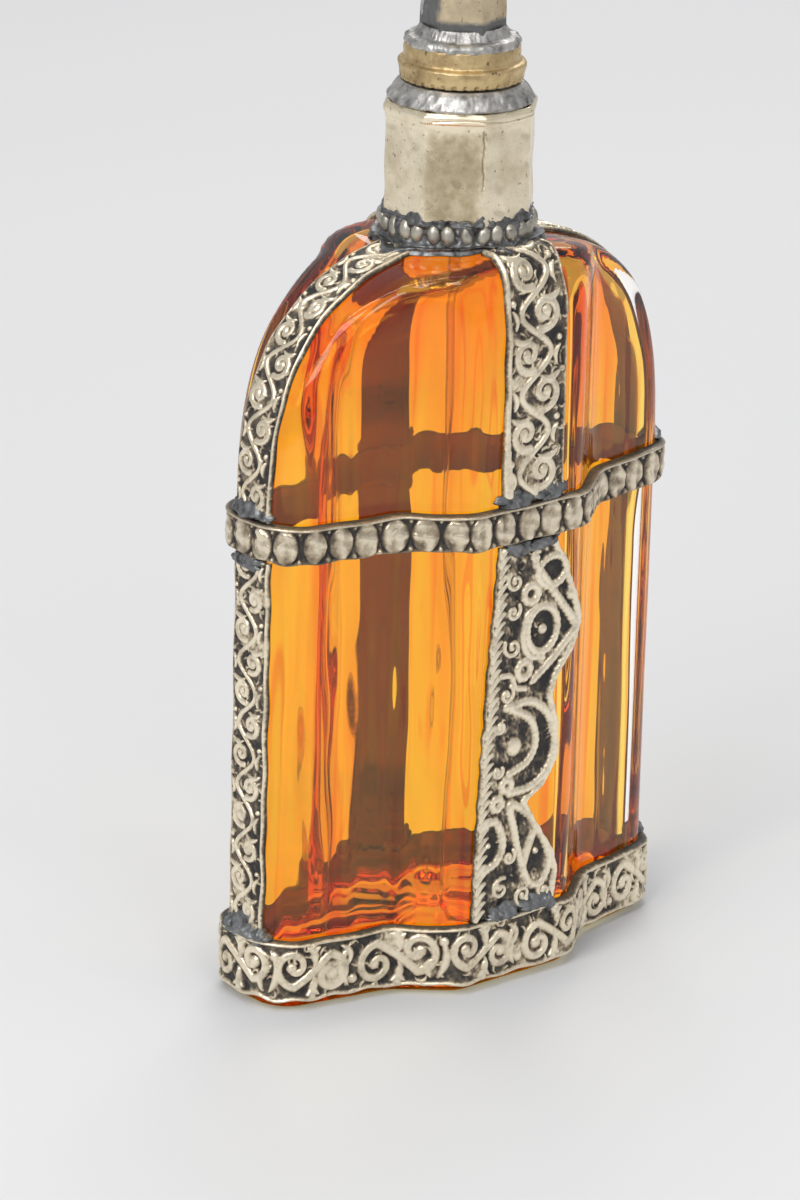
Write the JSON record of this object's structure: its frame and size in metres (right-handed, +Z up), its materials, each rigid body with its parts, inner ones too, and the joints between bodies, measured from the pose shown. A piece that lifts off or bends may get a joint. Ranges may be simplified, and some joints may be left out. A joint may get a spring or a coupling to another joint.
{
  "type": "perfume atomiser",
  "caption": "Refillable perfume atomiser: amber glass lobed flask in an embossed soldered metal mount, octagonal collar, screw closure with finger pump, hexagonal stem and turned press head.",
  "frame": {"origin": "centre of the flat glass foot, on the surface it stands on", "axes": "+Z up along the neck, X along the flask's long side, -Y towards the front lobe and the nozzle"},
  "size_m": [0.08, 0.0396, 0.199],
  "materials": {
    "amber_glass": "thick clear glass, stained amber on the inside",
    "nickel_silver": "embossed sheet with charcoal patina in the recesses",
    "collar_sheet": "hand-rubbed cream sheet with brown stains",
    "solder": "lumpy dull soft solder",
    "bead_wire": "worn beads with dark gaps",
    "aged_brass": "aged brass, satin",
    "pump_plastic": "natural polypropylene",
    "tube_plastic": "translucent polyethylene tube",
    "seal_rubber": "matt black rubber",
    "steel": "drawn stainless steel",
    "nozzle_plastic": "black moulded insert"
  },
  "bodies": {
    "root": {"glass_bottle": "amber_glass", "base_band": "nickel_silver", "belt_band": "nickel_silver", "front_strap_upper": "nickel_silver", "front_strap_lower": "nickel_silver", "back_strap_upper": "nickel_silver", "back_strap_lower": "nickel_silver", "left_strap_upper": "nickel_silver", "left_strap_lower": "nickel_silver", "right_strap_upper": "nickel_silver", "right_strap_lower": "nickel_silver", "base_solder_joints": "solder", "belt_solder_joints": "solder", "neck_solder_ring": "solder", "neck_bead_wire": "bead_wire", "collar_sleeve": "collar_sheet", "collar_top_solder": "solder"},
    "pump_unit": {"neck_gasket": "seal_rubber", "pump_housing": "pump_plastic", "rod_guide": "pump_plastic", "dip_tube": "tube_plastic", "return_spring": "steel"},
    "closure": {"closure_ring": "aged_brass", "closure_solder_disc": "solder", "stem_shroud": "collar_sheet", "stem_seam_solder": "solder", "stem_cuff": "aged_brass", "head_sleeve": "collar_sheet"},
    "plunger": {"pump_rod": "pump_plastic", "piston_seal": "seal_rubber", "lift_tube": "aged_brass"},
    "head": {"head_shell": "nickel_silver", "head_core": "pump_plastic", "nozzle_insert": "nozzle_plastic"},
    "valve_ball": {"inlet_ball": "steel"}
  },
  "joints": [
    {"name": "closure_lift", "type": "slide", "parent": "root", "child": "pump_unit", "axis": [0, 0, 1], "range_m": [0, 0.136]},
    {"name": "closure_turn", "type": "hinge", "parent": "pump_unit", "child": "closure", "pos_m": [0, 0, 0.1441], "axis": [0, 0, 1], "continuous": true},
    {"name": "head_press", "type": "slide", "parent": "pump_unit", "child": "plunger", "axis": [0, 0, -1], "range_m": [0, 0.005], "stiffness_N_per_m": 2000, "springref_m": -0.002, "deforming": ["return_spring"]},
    {"name": "head_turn", "type": "hinge", "parent": "plunger", "child": "head", "pos_m": [0, 0, 0.1882], "axis": [0, 0, 1], "continuous": true},
    {"name": "ball_lift", "type": "slide", "parent": "pump_unit", "child": "valve_ball", "axis": [0, 0, 1], "range_m": [0, 0.0006]}
  ]
}
